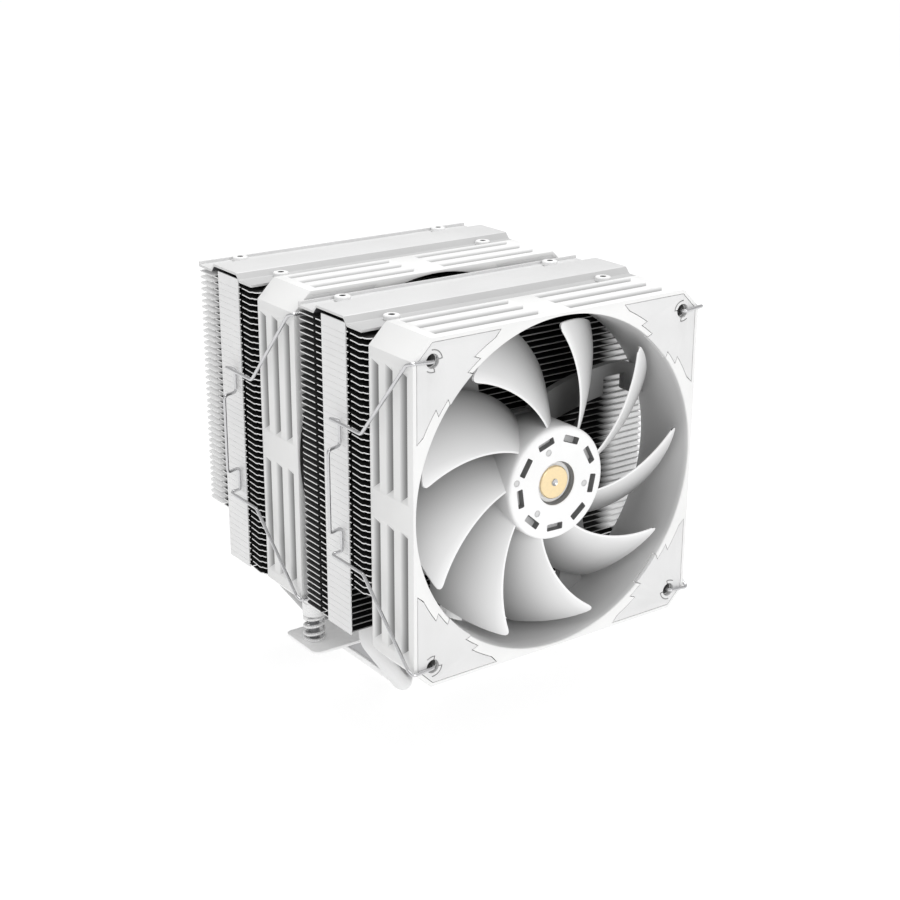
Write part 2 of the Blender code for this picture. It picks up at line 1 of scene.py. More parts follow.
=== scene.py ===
"""Detailed look of the dual-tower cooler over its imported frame.

Shapes are written in millimetres, in the cooler's frame: X across the fans, Y along
the air, Z up from the contact face. A fan's pieces are written in the fan's own frame,
with its origin at the centre of the fan's front face. Materials and the stage use metres.
"""
import math

import bmesh
import bpy
import numpy as np
from mathutils import Matrix, Vector


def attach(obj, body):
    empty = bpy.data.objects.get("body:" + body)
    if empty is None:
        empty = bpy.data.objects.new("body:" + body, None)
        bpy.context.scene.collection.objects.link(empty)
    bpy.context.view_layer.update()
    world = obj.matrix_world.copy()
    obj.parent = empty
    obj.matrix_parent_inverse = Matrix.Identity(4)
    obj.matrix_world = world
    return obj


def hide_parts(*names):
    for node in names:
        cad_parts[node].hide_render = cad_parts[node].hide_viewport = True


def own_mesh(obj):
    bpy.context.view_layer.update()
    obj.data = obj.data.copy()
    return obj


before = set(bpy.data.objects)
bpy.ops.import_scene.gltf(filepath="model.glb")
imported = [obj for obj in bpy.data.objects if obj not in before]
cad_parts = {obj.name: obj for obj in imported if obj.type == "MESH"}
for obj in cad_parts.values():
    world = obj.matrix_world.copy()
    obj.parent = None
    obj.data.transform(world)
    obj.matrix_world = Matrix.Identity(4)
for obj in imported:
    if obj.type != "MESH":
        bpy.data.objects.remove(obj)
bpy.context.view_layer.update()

# ---------------------------------------------------------------- dimensions
HALF = 60.0                    # half the fan frame's width
CUT = 6.84                     # length taken off its edges at each cut corner
DEPTH = 25.0                   # fan, along the air
HOLES = 52.5                   # fixing holes, from the fan's axis each way
PAD_DEPTH = 1.5
HUB_R = 20.1
BLADES = 9
TIP_R = 55.5
FAN_Z = 96.0                   # fan axis above the contact face
FANS = (("front", -86.0), ("mid", -14.5))                    # front faces
TOWERS = (("front", -60.7, True), ("rear", 10.8, False))     # front edges, low fins cut there
FINS, PITCH, FIN_Z0, FIN_T = 48, 2.2936, 43.0, 0.4
LOW = 8                        # lowest fins, cut back at one edge
SIDE = 60.3                    # half a tower's width
BAND0, BAND1 = 12.7, 27.7      # folded side wall, from the tower's front edge
WALL_Z0, WALL_Z1 = 41.9, 153.45
PIPE_R = 3.0
PIPE_Y = 21.8                  # pipes, behind a tower's front edge
PIPE_Z, PIPE_TOP = 5.7, 153.0
PIPE_BASE = (3.7, 11.1, 18.5)  # pipes from the middle, in the base
PIPE_TOWER = (10.0, 29.0, 48.0)  # and in the towers
BAR_Z0, BAR_Z1 = 16.3, 17.5
SCREW_X = 46.6                 # spring screws, along the bar
FIXING_X = 12.5                # fixing screws, along the bar
CLIP_R = 0.60                  # clip wire
SIDES = (("left", -1), ("right", 1))


# ----------------------------------------------------------------- materials
def nodes_of(name):
    """New material, its node tree and its shader."""
    mat = bpy.data.materials.new(name)
    mat.use_nodes = True
    tree = mat.node_tree
    return mat, tree, tree.nodes["Principled BSDF"]


def node(tree, kind, links=(), **values):
    """A node with its properties or input values set, fed by (input, socket) pairs."""
    made = tree.nodes.new(kind)
    for key, value in values.items():
        if key in made.inputs.keys():
            made.inputs[key].default_value = value
        else:
            setattr(made, key, value)
    for key, socket in links:
        tree.links.new(socket, made.inputs[key])
    return made


def blotch(tree, scale, detail=3.0, stretch=(1, 1, 1)):
    """Noise in the object's own metres; stretch above 1 squeezes it along an axis."""
    where = node(tree, "ShaderNodeTexCoord").outputs["Object"]
    if stretch != (1, 1, 1):
        where = node(tree, "ShaderNodeMapping", [("Vector", where)],
                     Scale=stretch).outputs["Vector"]
    return node(tree, "ShaderNodeTexNoise", [("Vector", where)], Scale=scale,
                Detail=detail).outputs["Fac"]


def between(tree, fac, low, high):
    """Colour running from low to high as fac goes from 0.3 to 0.7."""
    ramp = node(tree, "ShaderNodeValToRGB", [("Fac", fac)])
    for point, at, colour in zip(ramp.color_ramp.elements, (0.3, 0.7), (low, high)):
        point.position = at
        point.color = (*colour, 1.0)
    return ramp.outputs["Color"]


def level(tree, fac, low, high):
    """Value running from low to high as fac goes from 0.3 to 0.7."""
    return node(tree, "ShaderNodeMapRange", [("Value", fac)],
                **{"From Min": 0.3, "From Max": 0.7, "To Min": low,
                   "To Max": high}).outputs["Result"]


def shade(colour, k):
    """Colour made lighter or darker, no lighter than white."""
    return tuple(min(1.0, c * k) for c in colour)


def maths(tree, how, a, b=None):
    """Math node on one or two values, each a socket or a plain number."""
    made = node(tree, "ShaderNodeMath", operation=how)
    for key, value in enumerate((a, b)):
        if isinstance(value, bpy.types.NodeSocket):
            tree.links.new(value, made.inputs[key])
        elif value is not None:
            made.inputs[key].default_value = value
    return made.outputs["Value"]


def ease(tree, value, low, high):
    """Runs from 0 at low to 1 at high, and stays level beyond them."""
    return node(tree, "ShaderNodeMapRange", [("Value", value)],
                **{"From Min": low, "From Max": high}).outputs["Result"]


def place(tree):
    """X, Y and Z of the object's own frame, in metres."""
    where = node(tree, "ShaderNodeTexCoord").outputs["Object"]
    return node(tree, "ShaderNodeSeparateXYZ", [("Vector", where)]).outputs


def along(tree, axis, start, end, stops, every=None):
    """Grey changing along the object's own axis, in metres, for painted light and shade; every
    repeats it.
    """
    at = place(tree)[axis]
    if every:
        at = maths(tree, "FLOORED_MODULO", maths(tree, "SUBTRACT", at, start), every)
        start, end = 0.0, end - start
    ramp = node(tree, "ShaderNodeValToRGB", [("Fac", ease(tree, at, start, end))])
    points = ramp.color_ramp.elements
    while len(points) < len(stops):
        points.new(0.5)
    for point, (at, value) in zip(points, stops):
        point.position = at
        point.color = (value, value, value, 1.0)
    return ramp.outputs["Color"]


def times(tree, a, b):
    """Product of two colours."""
    return node(tree, "ShaderNodeMix", [(6, a), (7, b)], data_type="RGBA",
                blend_type="MULTIPLY", Factor=1.0).outputs[2]


def moulded(name, colour, rough=0.42, grain=2600, bump=0.10, drift=0.03, painted_shading=None):
    """Plastic or powder coat: fine orange peel, slow change of shade and gloss.

    A ramp of along()'s values multiplies the colour: painted light and shade, a soft change of
    tone across the piece.
    """
    mat, tree, shader = nodes_of(name)
    slow = blotch(tree, 45, 2.0)
    fine = blotch(tree, grain, 2.0)
    tone = between(tree, slow, shade(colour, 1 - drift), shade(colour, 1 + drift / 2))
    # painted light and shade: the colour multiplied by a ramp along an axis
    if painted_shading:
        tone = times(tree, tone, along(tree, *painted_shading))
    tree.links.new(tone, shader.inputs["Base Color"])
    tree.links.new(level(tree, blotch(tree, 420, 4.0), rough - 0.05, rough + 0.07),
                   shader.inputs["Roughness"])
    lift = node(tree, "ShaderNodeBump", [("Height", fine)], Strength=bump, Distance=0.0001)
    tree.links.new(lift.outputs["Normal"], shader.inputs["Normal"])
    return mat


def plated(name, colour, rough=0.25, stretch=(1, 1, 1), grain=1800, bump=0.08, drift=0.08,
           metal=1.0, painted_glow=0.0):
    """Bare or plated metal with fine drawn or turned marks, and an optional even emission:
    painted light on a part that is no lamp.
    """
    mat, tree, shader = nodes_of(name)
    shader.inputs["Metallic"].default_value = metal
    shader.inputs["Emission Color"].default_value = (1.0, 1.0, 1.0, 1.0)
    shader.inputs["Emission Strength"].default_value = painted_glow
    marks = blotch(tree, grain, 4.0, stretch)
    tree.links.new(between(tree, marks, shade(colour, 1 - drift), shade(colour, 1 + drift / 2)),
                   shader.inputs["Base Color"])
    tree.links.new(level(tree, marks, rough - 0.06, rough + 0.09), shader.inputs["Roughness"])
    lift = node(tree, "ShaderNodeBump", [("Height", marks)], Strength=bump, Distance=0.00008)
    tree.links.new(lift.outputs["Normal"], shader.inputs["Normal"])
    return mat


def leaf_painted_shade_and_light():
    """Fin faces: near black as painted shade between the fins, with pale painted light at the
    right front and round the rear, faint painted light by the sides in the middle, and a painted
    glow where lit.
    """
    mat, tree, shader = nodes_of("fin_leaf_painted_shade_and_light")
    part = place(tree)
    x, y, z = part["X"], part["Y"], part["Z"]
    out = maths(tree, "ABSOLUTE", x)
    # the low fins of the rear tower end 15.8 mm further forward than the others
    back = maths(tree, "ADD", y, maths(tree, "MULTIPLY", ease(tree, z, 0.0608, 0.0604), 0.0158))
    # masks of painted light: right front, round the rear, behind the rear edge, faintly by the
    # sides in the middle
    right = maths(tree, "MULTIPLY", ease(tree, x, 0.0405, 0.0475),
                  ease(tree, y, -0.0560, -0.0578))
    rear = maths(tree, "MULTIPLY", ease(tree, y, 0.0405, 0.0430), ease(tree, out, 0.0545, 0.0590))
    behind = maths(tree, "MULTIPLY", ease(tree, back, 0.0450, 0.0500), 0.95)
    side_light = maths(tree, "MULTIPLY", ease(tree, out, 0.0440, 0.0560), 0.13)
    middle = maths(tree, "MULTIPLY", ease(tree, y, -0.0290, -0.0250),
                   ease(tree, y, -0.0050, -0.0150))
    painted_light = maths(tree, "MAXIMUM", maths(tree, "MAXIMUM", right, rear), behind)
    painted_light = maths(tree, "MAXIMUM", painted_light, maths(tree, "MULTIPLY", middle, side_light))
    grain = blotch(tree, 900, 3.0)
    # pale where the masks paint light, near black elsewhere as painted shade
    mix = node(tree, "ShaderNodeMix", [(0, painted_light),
                                       (6, between(tree, grain, (0.022,) * 3, (0.034,) * 3)),
                                       (7, between(tree, grain, (0.72,) * 3, (0.78,) * 3))],
               data_type="RGBA")
    tree.links.new(mix.outputs[2], shader.inputs["Base Color"])
    # emission on the lit patches: painted light, the fins are no lamp
    lit = maths(tree, "MAXIMUM", right, maths(tree, "MULTIPLY", rear, 0.85))
    shader.inputs["Emission Color"].default_value = (1.0, 1.0, 1.0, 1.0)
    tree.links.new(maths(tree, "MULTIPLY", lit, 0.26), shader.inputs["Emission Strength"])
    shader.inputs["Specular IOR Level"].default_value = 0.12
    tree.links.new(level(tree, grain, 0.60, 0.75), shader.inputs["Roughness"])
    return mat


MATS = {
    "frame": moulded("frame_plastic", (0.88, 0.88, 0.875), 0.40),
    # groove floors: white darkened towards each groove's deep front side, painted shade repeating
    # every groove
    "recess": moulded("frame_recess_painted_shade", (1.0, 1.0, 1.0), 0.55,
                      painted_shading=("Y", 0.00315, 0.00745, ((0, 0.15), (0.4, 0.22), (0.58, 0.30),
                                                     (0.78, 0.52), (1, 0.84)), 0.008)),
    # duct wall: white at the front lip, darker towards the rear, painted shade inside the duct
    "duct": moulded("frame_duct_painted_shade", (1.0, 1.0, 1.0), 0.45,
                    painted_shading=("Y", 0.0, 0.025, ((0, 0.88), (0.03, 0.66), (0.09, 0.56), (0.5, 0.53),
                                             (1, 0.50)))),
    # motor mount and the frame's hole walls: dark grey, painted shade behind the rotor and in the
    # holes
    "mount": moulded("motor_mount", (0.26, 0.26, 0.26), 0.55),
    "pad": moulded("pad_rubber", (0.79, 0.79, 0.79), 0.78, 3800, 0.22, 0.04),
    # pad grooves: mid grey, painted shade in the grooves
    "crease": moulded("pad_crease_painted_shade", (0.50, 0.50, 0.50), 0.7),
    # blades: white, a painted highlight at the leading edge and painted shade from the
    # neighbouring blades towards the trailing edge; the hub's side takes it too
    "blade": moulded("blade_painted_shade", (1.0, 1.0, 1.0), 0.38, 3000, 0.06,
                     painted_shading=("Y", 0.0025, 0.0195, ((0, 0.96), (0.10, 0.80), (0.5, 0.54),
                                                  (1, 0.22)))),
    "hub": moulded("hub_plastic", (0.93, 0.93, 0.93), 0.40, 3000, 0.08),
    # hub slots' walls: dark grey, painted shade in the slots
    "slot": moulded("hub_slot_painted_shade", (0.22, 0.22, 0.22), 0.6),
    # slot floors mid grey, painted shade in the slots; the ring marks take this grey too
    "mark": moulded("hub_mark", (0.66, 0.66, 0.66), 0.5),
    # recess round the gold disc: near black, painted shade
    "well": moulded("hub_well_painted_shade", (0.17, 0.17, 0.17), 0.55),
    # leading edges: an even bright line, a painted highlight
    "rim": moulded("blade_rim_painted_highlight", (0.97, 0.97, 0.97), 0.35, 3000, 0.04, 0.01),
    "gold": plated("gold_disc", (0.93, 0.76, 0.48), 0.40, (1, 12, 1), 900, 0.05, 0.05),
    "dark": moulded("motor_core", (0.06, 0.06, 0.065), 0.6),
    "steel": plated("ground_steel", (0.60, 0.60, 0.61), 0.25, (1, 1, 10)),
    "wire": plated("spring_wire", (0.64, 0.64, 0.65), 0.29, (10, 10, 1), 1500, 0.05),
    "edge": moulded("fin_edge", (0.86, 0.86, 0.86), 0.42),
    # fins' front edges: dark painted shade across most of the front, pale painted light towards
    # the right side
    "face": moulded("fin_front_painted_light", (1.0, 1.0, 1.0), 0.5,
                    painted_shading=("X", 0.036, 0.045, ((0, 0.24), (0.5, 0.36), (1, 0.88)))),
    "leaf": leaf_painted_shade_and_light(),
    "band": moulded("fin_wall", (0.89, 0.89, 0.89), 0.42, 2400, 0.10, 0.04),
    "cover": moulded("cover_coat", (0.71, 0.71, 0.71), 0.40, 2000, 0.14, 0.03),
    # cover's front flange and slope: darker than the plateau, painted shade
    "fold": moulded("cover_fold_painted_shade", (0.53, 0.53, 0.53), 0.42, 2000, 0.14, 0.03),
    "head": moulded("screw_coat", (0.88, 0.88, 0.88), 0.40, 2400, 0.12),
    # near black: painted shade in the screws' sockets and slots, and under the cover's sheet
    "socket": moulded("socket_painted_shade", (0.04, 0.04, 0.045), 0.6),
    # heat pipes: white coat, darker towards the rear as painted shade under the cooler
    "pipe": moulded("pipe_coat_painted_shade", (1.0, 1.0, 1.0), 0.36, 2200, 0.08, 0.04,
                    painted_shading=("Y", -0.030, 0.000, ((0, 0.82), (0.4, 0.78), (1, 0.50)))),
    "block": plated("block_metal", (0.44, 0.44, 0.45), 0.40, (1, 10, 1), metal=0.5),
    # contact plate and bar: emission brightens them, painted light on shaded parts
    "plate": plated("plate_nickel_painted_glow", (0.96, 0.96, 0.96), 0.30, (1, 14, 1), metal=0.0, painted_glow=0.06),
    "bar": plated("bar_nickel_painted_glow", (0.96, 0.96, 0.96), 0.42, (12, 1, 1), metal=0.0, painted_glow=0.12),
    # shank inside the coil: dark, painted shade between the coil's turns
    "shank": plated("shank_painted_shade", (0.30, 0.30, 0.31), 0.3, (1, 1, 10), metal=0.3),
    "screw": plated("screw_nickel", (0.92, 0.92, 0.92), 0.28, (1, 1, 8), metal=0.2),
    "coil": plated("coil_steel", (0.90, 0.90, 0.90), 0.26, (1, 1, 4), metal=0.3),
}


# ------------------------------------------------------------------ meshing
def piece(name, source, mats, body, nodes, at=(0, 0, 0), angle=32):
    """Object from a bmesh or mesh in millimetres, riding on a body of the frame.

    Faces that meet at more than angle degrees keep a sharp edge; 0 leaves all flat.
    """
    mesh = to_mesh(source, 0, name) if isinstance(source, bmesh.types.BMesh) else source
    mesh.transform(Matrix.Scale(0.001, 4))
    slots = [p.material_index for p in mesh.polygons]
    mesh.materials.clear()
    for mat in mats:
        mesh.materials.append(MATS[mat])
    mesh.polygons.foreach_set("material_index", slots)
    if angle:
        mesh.shade_smooth()
        mesh.set_sharp_from_angle(angle=math.radians(angle))
    obj = linked(name, mesh)
    obj.location = [v * 0.001 for v in at]
    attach(obj, body)
    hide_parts(*nodes)
    return obj


def to_mesh(bm, slots, name="work"):
    """Mesh from a bmesh, with enough filled slots for its material indices."""
    bmesh.ops.recalc_face_normals(bm, faces=bm.faces[:])
    mesh = bpy.data.meshes.new(name)
    for mat in list(MATS.values())[:slots]:
        mesh.materials.append(mat)
    bm.to_mesh(mesh)
    bm.free()
    return mesh


def linked(name, data):
    """New object in the scene for a mesh, camera or lamp."""
    obj = bpy.data.objects.new(name, data)
    bpy.context.scene.collection.objects.link(obj)
    return obj


def evaluated(obj):
    """New mesh with the object's modifiers applied; the object itself is removed."""
    bpy.context.view_layer.update()
    graph = bpy.context.evaluated_depsgraph_get()
    result = bpy.data.meshes.new_from_object(obj.evaluated_get(graph))
    bpy.data.objects.remove(obj)
    return result


def carve(mesh, bm):
    """New mesh: a mesh less a bmesh, both in millimetres."""
    tool_mesh = to_mesh(bm, max(1, len(mesh.materials)))
    base, tool = linked("carved", mesh), linked("tool", tool_mesh)
    mod = base.modifiers.new("carve", "BOOLEAN")
    mod.operation, mod.solver, mod.object = "DIFFERENCE", "EXACT", tool
    mod.material_mode = "INDEX"
    result = evaluated(base)
    bpy.data.objects.remove(tool)
    bpy.data.meshes.remove(tool_mesh)
    return result


def soften(mesh, width, angle=40, segments=2):
    """New mesh with the sharp edges rounded."""
    obj = linked("softened", mesh)
    mod = obj.modifiers.new("soft", "BEVEL")
    mod.width, mod.segments, mod.limit_method = width, segments, "ANGLE"
    mod.angle_limit = math.radians(angle)
    mod.use_clamp_overlap = True
    return evaluated(obj)


def prism(bm, points, a, b, axis="Y", mat=0):
    """Closed prism of a flat outline between two levels of an axis."""
    put = {"X": lambda p, d: (d, p[0], p[1]), "Y": lambda p, d: (p[0], d, p[1]),
             "Z": lambda p, d: (p[0], p[1], d)}[axis]
    low = [bm.verts.new(put(p, a)) for p in points]
    top = [bm.verts.new(put(p, b)) for p in points]
    faces = [bm.faces.new(low), bm.faces.new(top[::-1])]
    n = len(points)
    for i in range(n):
        j = (i + 1) % n
        faces.append(bm.faces.new((low[j], low[i], top[i], top[j])))
    for f in faces:
        f.material_index = mat
    return faces


def loft(bm, rings, mat=0):
    """Skin over rings of equal length; mat is an index or a rule for (row, column)."""
    rows = [[bm.verts.new(p) for p in ring] for ring in rings]
    n = len(rows[0])
    for k, (a, b) in enumerate(zip(rows, rows[1:])):
        for i in range(n):
            j = (i + 1) % n
            made = bm.faces.new((a[i], a[j], b[j], b[i]))
            made.material_index = mat(k, i) if callable(mat) else mat
    for end in (rows[0][::-1], rows[-1]):
        bm.faces.new(end).material_index = 0 if callable(mat) else mat


def disc(r, n, cx=0.0, cy=0.0):
    """Points round a circle."""
    return [(cx + r * math.cos(2 * math.pi * k / n),
             cy + r * math.sin(2 * math.pi * k / n)) for k in range(n)]


def turned(bm, profile, n, axis="Y", ring=False, mats=None):
    """Revolve (radius, along) points; ring joins the last point to the first."""
    rows = []
    for r, d in profile:
        pts = [(0.0, 0.0)] if r < 1e-6 else disc(r, n)
        rows.append([bm.verts.new((x, d, y) if axis == "Y" else (x, y, d)) for x, y in pts])
    pairs = list(zip(rows, rows[1:]))
    if ring:
        pairs.append((rows[-1], rows[0]))
    for k, (a, b) in enumerate(pairs):
        for i in range(n):
            j = (i + 1) % n
            if len(a) == 1 and len(b) == 1:
                continue
            if len(a) == 1:
                f = bm.faces.new((a[0], b[i], b[j]))
            elif len(b) == 1:
                f = bm.faces.new((a[i], a[j], b[0]))
            else:
                f = bm.faces.new((a[i], a[j], b[j], b[i]))
            f.material_index = mats[k] if mats else 0


def rounded(x, y, r, steps):
    """Rectangle with round corners; x and y are the corners' centres."""
    pts = []
    for cx, cy, a0 in ((x, y, 0), (-x, y, 90), (-x, -y, 180), (x, -y, 270)):
        for q in range(steps + 1):
            a = math.radians(a0 + 90 * q / steps)
            pts.append((cx + r * math.cos(a), cy + r * math.sin(a)))
    return pts


def polar(r, degrees):
    """Flat point at a radius and an angle."""
    a = math.radians(degrees)
    return (r * math.cos(a), r * math.sin(a))


def fillet(points, radii, steps=5):
    """Polyline with each inner corner replaced by an arc of its own radius."""
    pts = [Vector(p) for p in points]
    out = [pts[0]]
    for a, b, c, r in zip(pts, pts[1:], pts[2:], radii):
        u, w = (a - b).normalized(), (c - b).normalized()
        half = u.angle(w) / 2
        reach = min(r / math.tan(half), (a - b).length * 0.48, (c - b).length * 0.48)
        radius = reach * math.tan(half)
        centre = b + (u + w).normalized() * (radius / math.sin(half))
        start, end = b + u * reach - centre, b + w * reach - centre
        swing = start.angle(end)
        for k in range(steps + 1):
            t = k / steps
            out.append(centre + start * (math.sin((1 - t) * swing) / math.sin(swing))
                       + end * (math.sin(t * swing) / math.sin(swing)))
    return out + [pts[-1]]


def tube(bm, path, radius, sides=12, tip=0.3):
    """Round wire along a path, its frame carried without twist, with eased ends."""
    pts = [Vector(p) for p in path]
    rings, side = [], None
    for i, p in enumerate(pts):
        ahead = (pts[min(i + 1, len(pts) - 1)] - pts[max(i - 1, 0)]).normalized()
        if side is None:
            side = ahead.orthogonal().normalized()
        side = (side - ahead * side.dot(ahead)).normalized()
        up = ahead.cross(side)
        rings.append([p + (side * math.cos(t) + up * math.sin(t)) * radius
                      for t in (2 * math.pi * k / sides for k in range(sides))])
    ends = []
    for ring, p, inner in ((rings[0], pts[0], pts[1]), (rings[-1], pts[-1], pts[-2])):
        out = (p - inner).normalized() * radius * tip
        ends.append([p + (q - p) * 0.55 + out for q in ring])
    loft(bm, ends[:1] + rings + ends[1:])


# ------------------------------------------------------------------ fan frame
def round_angles(along_side=54, along_cut=6):
    """Angles round the frame, hitting its eight corners exactly."""
    a = math.degrees(math.atan2(HALF - CUT, HALF))
    out = []
    for q in range(4):
        out += [90 * q - a + 2 * a * i / along_side for i in range(along_side)]
        out += [90 * q + a + (90 - 2 * a) * i / along_cut for i in range(along_cut)]
    return [math.radians(v) for v in out]


def outline(t):
    """Distance from the fan's axis to the frame's edge at an angle."""
    c, s = abs(math.cos(t)), abs(math.sin(t))
    return min(HALF / max(c, s), (2 * HALF - CUT) / (c + s))


def frame_ring():
    """Square outside, flared round duct inside: (radius or share of the outline, depth)."""
    inside = [(59.25, 0.0), (59.0, 0.10), (58.87, 0.35), (58.75, 1.0), (58.4, 3.0),
              (58.0, 6.5), (57.9, 12.0), (57.95, 18.0), (58.1, 22.0), (58.35, 24.4),
              (58.5, 24.8), (58.9, DEPTH)]
    outside = [(0.9945, DEPTH), (0.9984, 24.9), (1.0, 24.65), (1.0, 0.35), (0.9984, 0.10),
               (0.9945, 0.0)]
    duct_rows = range(2, 10)
    bm = bmesh.new()
    angles = round_angles()
    rows = [[bm.verts.new((r * math.cos(t), y, r * math.sin(t))) for t in angles]
            for r, y in inside]
    rows += [[bm.verts.new((k * outline(t) * math.cos(t), y, k * outline(t) * math.sin(t)))
              for t in angles] for k, y in outside]
    n = len(angles)
    for k, (a, b) in enumerate(zip(rows, rows[1:] + rows[:1])):
        for i in range(n):
            j = (i + 1) % n
            f = bm.faces.new((a[i], a[j], b[j], b[i]))
            # the duct's rows take the darkened duct tone, painted shade
            f.material_index = 2 if k in duct_rows else 0
    return to_mesh(bm, 3)


QUARTERS = ((1, 0), (0, 1), (-1, 0), (0, -1))      # cosine and sine of each quarter turn


def groove_tool():
    """Long recesses, two by three on each side: deepest at the front, ends ramped."""
    bm = bmesh.new()
    for c, s in QUARTERS:
        for y in (5.3, 13.3, 21.3):
            y0, y1 = y - 2.15, y + 2.15
            # height over the side's face and place along the fan, round one groove
            section = [(2.0, y0), (2.0, y1), (0.04, y1), (-0.9, y1 - 1.5),
                       (-1.75, y0 + 1.5), (-1.9, y0 + 0.3), (0.04, y0)]
            for z0, z1 in ((-49.4, -4.9), (4.9, 49.4)):
                rings = []
                # at each end, a ring in the face and one drawn in, which leaves a ramp
                for z, way, deep in ((z0, 1, 0), (z0, 1, 1), (z1, -1, 1), (z1, -1, 0)):
                    ring = []
                    for d, yy in section:
                        run = way * (1.62 * max(0.0, -d) + 0.05) if deep else 0.0
                        if d > 1 and deep:
                            run = way * 3.0
                        x, zz = HALF + (d if deep or d > 0 else 0.03), z + run
                        ring.append((x * c - zz * s, yy, x * s + zz * c))
                    rings.append(ring)
                # the grooves' deep faces take the darkened recess tone, painted shade
                loft(bm, rings, mat=lambda k, i: int(k == 1))
    return bm


def pad_edge(grow=0.0):
    """Corner pad outline in the +x +z corner: two steps each side of its duct edge."""
    edge = 58.4 + grow
    cut = 2 * HALF - CUT - 2.26 + grow * math.sqrt(2)
    # the recess runs on past the duct's wall, so no thin lip is left there
    inner, first = (57.9 + grow, 38.6) if grow else (58.7, 39.1)
    # radius, first and last angle, points, which way each end moves as the outline grows
    arcs = ((62.9, 24.7, 35.6, 6, -1, -1), (60.75, 34.3, 40.1, 4, -1, -1),
            (inner, first, 90 - first, 13, -1, 1),
            (60.75, 49.9, 55.7, 4, 1, 1), (62.9, 54.4, 65.3, 6, 1, 1))
    pts = []
    for r, a0, a1, n, g0, g1 in arcs:
        lead = math.degrees(1.85 * grow / r)    # the steps lean, so an even gap needs more
        a0, a1 = a0 + g0 * lead, a1 + g1 * lead
        pts += [polar(r - grow, a0 + (a1 - a0) * k / (n - 1)) for k in range(n)]
    pts[0] = (edge, pts[0][1])
    pts[-1] = (pts[-1][0], edge)
    return pts + [(cut - edge, edge), (edge, cut - edge)]


CORNERS = (("top_left", -1, 1), ("top_right", 1, 1), ("bottom_left", -1, -1),
           ("bottom_right", 1, -1))


def flip(points, sx, sz):
    """Outline of the +x +z corner moved to another corner, still running the same way."""
    out = [(x * sx, z * sz) for x, z in points]
    return out if sx * sz > 0 else out[::-1]


# edges of a motor arm, as radius and angle
ARM_OUTER = ((20.8, 80.0), (27.3, 66.0), (38.1, 49.0), (43.6, 43.4), (50.9, 36.9), (59.4, 28.0))
ARM_INNER = ((20.8, 44.0), (23.4, 42.4), (30.8, 32.8), (37.0, 31.0), (53.2, 20.0), (59.4, 16.5))


def smooth_curve(table, n):
    """Points on a smooth curve through (radius, angle) pairs."""
    r, a = np.array(table).T
    fit = np.polyfit(r, a, 4)
    return [polar(v, float(np.polyval(fit, v))) for v in np.linspace(r[0], r[-1], n)]


def motor_mount(bm):
    """Rear plate and four swept arms; the upper right arm is notched."""
    turned(bm, [(0.0, 21.2), (19.9, 21.2), (20.4, 21.5), (20.5, 24.4), (20.2, 24.7), (0.0, 24.7)],
           96, mats=[3] * 5)
    notch = [(36.6, 19.7), (36.6, 26.1), (46.5, 26.1), (46.5, 19.8)]
    for k, (c, s) in enumerate(QUARTERS):
        outer = smooth_curve(ARM_OUTER, 22)
        inner = smooth_curve(ARM_INNER, 22)
        if k == 0:
            inner = ([p for p in inner if p[0] < 36.4] + notch
                     + [p for p in inner if p[0] > 46.8])
        ends = [(p[0] * 0.85, p[1] * 0.85) for p in (inner[0], outer[0])]
        pts = ends[:1] + inner + outer[::-1] + ends[1:]
        prism(bm, [(x * c - z * s, x * s + z * c) for x, z in pts], 21.6, 24.3, mat=3)


def corner_prisms(shape, a, b, mat=0):
    """Prisms in all four corners, from the outline that shape gives for each."""
    bm = bmesh.new()
    for _, sx, sz in CORNERS:
        prism(bm, shape(sx, sz), a, b, mat=mat)
    return bm


def fan_frame(tag, y):
    """Ring with its grooves, pad recesses and screw holes, and the motor mount behind."""
    # a fine line shows round the front fan's pads, and hardly one round the middle fan's
    gap = 0.24 if tag == "front" else 0.04
    mesh = carve(frame_ring(), groove_tool())
    mesh = carve(mesh, corner_prisms(lambda sx, sz: flip(pad_edge(gap), sx, sz), -5.0,
                                     PAD_DEPTH + 0.25))
    # the hole walls take the dark grey of the mount, painted shade in the holes
    mesh.materials.append(MATS["mount"])
    mesh = carve(mesh, corner_prisms(lambda sx, sz: disc(2.25, 28, sx * HOLES, sz * HOLES),
                                     -5.0, DEPTH + 5.0, mat=3))
    bm = bmesh.new()
    bm.from_mesh(mesh)
    mount = bmesh.new()
    motor_mount(mount)
    bm.from_mesh(to_mesh(mount, 4))
    piece(tag + "_fan_frame_shell", to_mesh(bm, 4), ("frame", "recess", "duct", "mount"),
          "cooler", [tag + "_fan_frame"], (0, y, FAN_Z))


def pad_groove(first, turn, count):
    """Short curved groove round a pad's hole, with one end running in to the hole."""
    step = 6.5

    def at(r, degrees):
        a = math.radians(first + turn * degrees)
        return HOLES - r * math.cos(a), HOLES + r * math.sin(a)

    edge = [at(3.85, step * k) for k in range(count)]
    edge += [at(3.45, step * k) for k in range(count - 1, 0, -1)]
    return edge + [at(2.2, 10), at(2.2, 0)]


